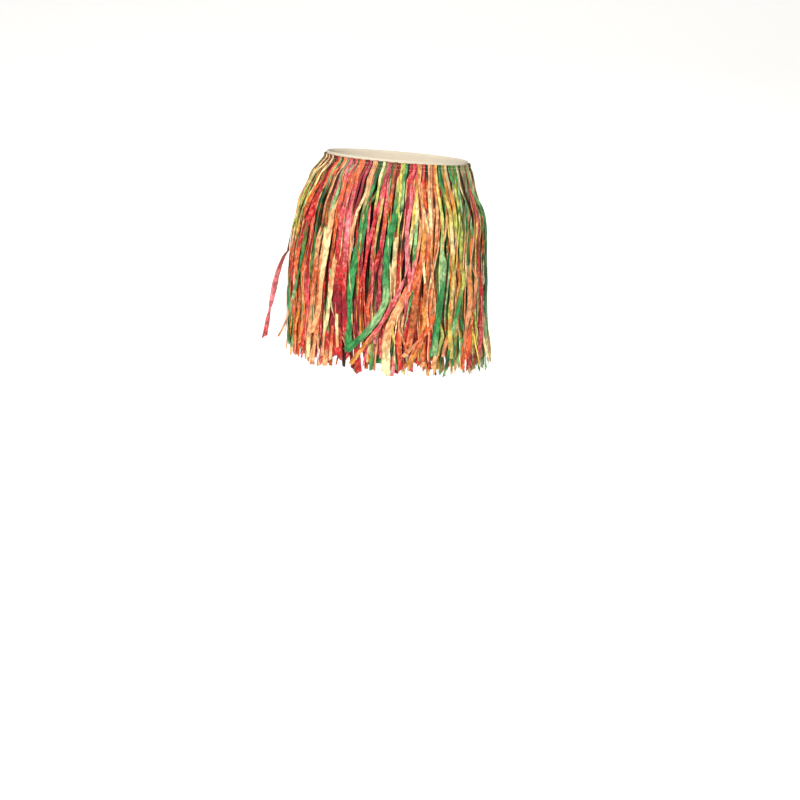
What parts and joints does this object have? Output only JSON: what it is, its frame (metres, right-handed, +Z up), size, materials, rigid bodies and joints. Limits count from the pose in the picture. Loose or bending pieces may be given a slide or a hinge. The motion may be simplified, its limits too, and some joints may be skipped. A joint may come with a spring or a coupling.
{
  "type": "grass skirt",
  "caption": "Short hula skirt: dyed raffia strips sewn in layers to an elastic waist, hanging open over leaning hips.",
  "frame": {"origin": "centre of the waist elastic at half its height, where the wearer holds the skirt", "axes": "+Z up; the front of the skirt faces -Y; +X is to the right as seen from the front"},
  "size_m": [0.4724, 0.3091, 0.443],
  "materials": {
    "waist_elastic": "cream woven elastic, matt",
    "under_strips_1": "orange dyed paper raffia, crinkled, slight sheen",
    "under_strips_2": "red dyed paper raffia, crinkled, slight sheen",
    "under_strips_3": "pink dyed paper raffia, crinkled, slight sheen",
    "under_strips_4": "red dyed paper raffia, crinkled, slight sheen",
    "under_strips_5": "peach dyed paper raffia, crinkled, slight sheen",
    "under_strips_6": "green dyed paper raffia, crinkled, slight sheen",
    "under_strips_7": "jade dyed paper raffia, crinkled, slight sheen",
    "under_strips_8": "yellow dyed paper raffia, crinkled, slight sheen",
    "middle_strips_1": "green dyed paper raffia, crinkled, slight sheen",
    "middle_strips_2": "peach dyed paper raffia, crinkled, slight sheen",
    "middle_strips_3": "orange dyed paper raffia, crinkled, slight sheen",
    "middle_strips_4": "pink dyed paper raffia, crinkled, slight sheen",
    "middle_strips_5": "red dyed paper raffia, crinkled, slight sheen",
    "middle_strips_6": "jade dyed paper raffia, crinkled, slight sheen",
    "middle_strips_7": "yellow dyed paper raffia, crinkled, slight sheen",
    "middle_strips_8": "lime dyed paper raffia, crinkled, slight sheen",
    "outer_strips_1": "yellow dyed paper raffia, crinkled, slight sheen",
    "outer_strips_2": "lime dyed paper raffia, crinkled, slight sheen",
    "outer_strips_3": "red dyed paper raffia, crinkled, slight sheen",
    "outer_strips_4": "pink dyed paper raffia, crinkled, slight sheen",
    "outer_strips_5": "orange dyed paper raffia, crinkled, slight sheen",
    "outer_strips_6": "yellow dyed paper raffia, crinkled, slight sheen",
    "outer_strips_7": "green dyed paper raffia, crinkled, slight sheen",
    "outer_strips_8": "peach dyed paper raffia, crinkled, slight sheen"
  },
  "bodies": {
    "root": {"waist_elastic": "waist_elastic", "under_strips_1": "under_strips_1", "under_strips_2": "under_strips_2", "under_strips_3": "under_strips_3", "under_strips_4": "under_strips_4", "under_strips_5": "under_strips_5", "under_strips_6": "under_strips_6", "under_strips_7": "under_strips_7", "under_strips_8": "under_strips_8", "middle_strips_1": "middle_strips_1", "middle_strips_2": "middle_strips_2", "middle_strips_3": "middle_strips_3", "middle_strips_4": "middle_strips_4", "middle_strips_5": "middle_strips_5", "middle_strips_6": "middle_strips_6", "middle_strips_7": "middle_strips_7", "middle_strips_8": "middle_strips_8", "outer_strips_1": "outer_strips_1", "outer_strips_2": "outer_strips_2", "outer_strips_3": "outer_strips_3", "outer_strips_4": "outer_strips_4", "outer_strips_5": "outer_strips_5", "outer_strips_6": "outer_strips_6", "outer_strips_7": "outer_strips_7", "outer_strips_8": "outer_strips_8"}
  },
  "joints": []
}
